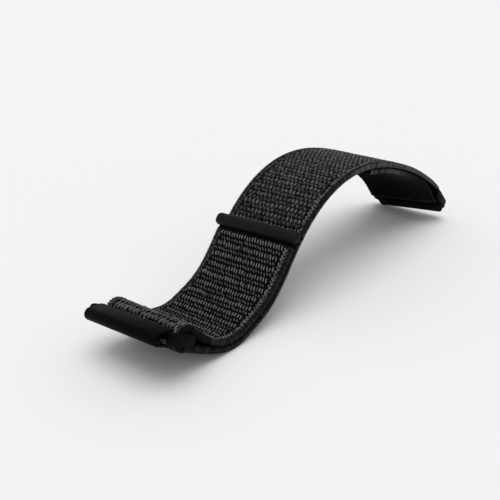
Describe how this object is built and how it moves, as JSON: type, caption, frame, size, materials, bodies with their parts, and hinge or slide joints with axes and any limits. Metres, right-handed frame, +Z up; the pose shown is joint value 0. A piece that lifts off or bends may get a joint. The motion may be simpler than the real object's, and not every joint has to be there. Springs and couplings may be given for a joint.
{
  "type": "watch strap",
  "caption": "Woven hook-and-loop watch strap with a moulded connector and sprung bar at each end, lying in a loose S curve.",
  "frame": {"origin": "on the floor under the middle of the strap's box as it lies", "axes": "+X along the strap from the flap's end to the sewn end, +Y across the strap, +Z up"},
  "size_m": [0.1234, 0.0248, 0.029],
  "materials": {
    "webbing": "dense black nylon loop weave with lengthwise rows",
    "hook_tape": "black nylon micro hooks",
    "tab_moulding": "smooth satin black",
    "connector_moulding": "smooth satin black",
    "pin_steel": "turned and polished",
    "spring_wire": "drawn wire"
  },
  "bodies": {
    "strap": {"strap_band": "webbing"},
    "flap": {"strap_flap": "webbing", "hook_patch": "hook_tape", "pull_tab": "tab_moulding"},
    "left_end": {"left_connector": "connector_moulding", "left_spring_tube": "pin_steel", "left_spring": "spring_wire"},
    "right_end": {"right_connector": "connector_moulding", "right_spring_tube": "pin_steel", "right_spring": "spring_wire"},
    "left_near_pin": {"left_near_tip": "pin_steel"},
    "left_far_pin": {"left_far_tip": "pin_steel"},
    "right_near_pin": {"right_near_tip": "pin_steel"},
    "right_far_pin": {"right_far_tip": "pin_steel"}
  },
  "joints": [
    {"name": "flap_peel", "type": "hinge", "parent": "strap", "child": "flap", "pos_m": [-0.0517, 0.00014, 0.00999], "axis": [0, -0.9976, 0.0698], "range_deg": [0, 100]},
    {"name": "left_swivel", "type": "hinge", "parent": "strap", "child": "left_end", "pos_m": [-0.05371, 0, 0.00805], "axis": [0, 0.9976, -0.0698], "range_deg": [-60, 60]},
    {"name": "right_swivel", "type": "hinge", "parent": "strap", "child": "right_end", "pos_m": [0.05589, 0, 0.00811], "axis": [0, 0.9936, -0.1132], "range_deg": [-60, 60]},
    {"name": "left_near_press", "type": "slide", "parent": "left_end", "child": "left_near_pin", "axis": [0, 0.9976, -0.0698], "range_m": [0, 0.0012], "stiffness_N_per_m": 300, "springref_m": -0.001, "deforming": ["left_spring"]},
    {"name": "left_far_press", "type": "slide", "parent": "left_end", "child": "left_far_pin", "axis": [0, -0.9976, 0.0698], "range_m": [0, 0.0012], "stiffness_N_per_m": 300, "springref_m": -0.001, "deforming": ["left_spring"]},
    {"name": "right_near_press", "type": "slide", "parent": "right_end", "child": "right_near_pin", "axis": [0, 0.9936, -0.1132], "range_m": [0, 0.0012], "stiffness_N_per_m": 300, "springref_m": -0.001, "deforming": ["right_spring"]},
    {"name": "right_far_press", "type": "slide", "parent": "right_end", "child": "right_far_pin", "axis": [0, -0.9936, 0.1132], "range_m": [0, 0.0012], "stiffness_N_per_m": 300, "springref_m": -0.001, "deforming": ["right_spring"]}
  ]
}
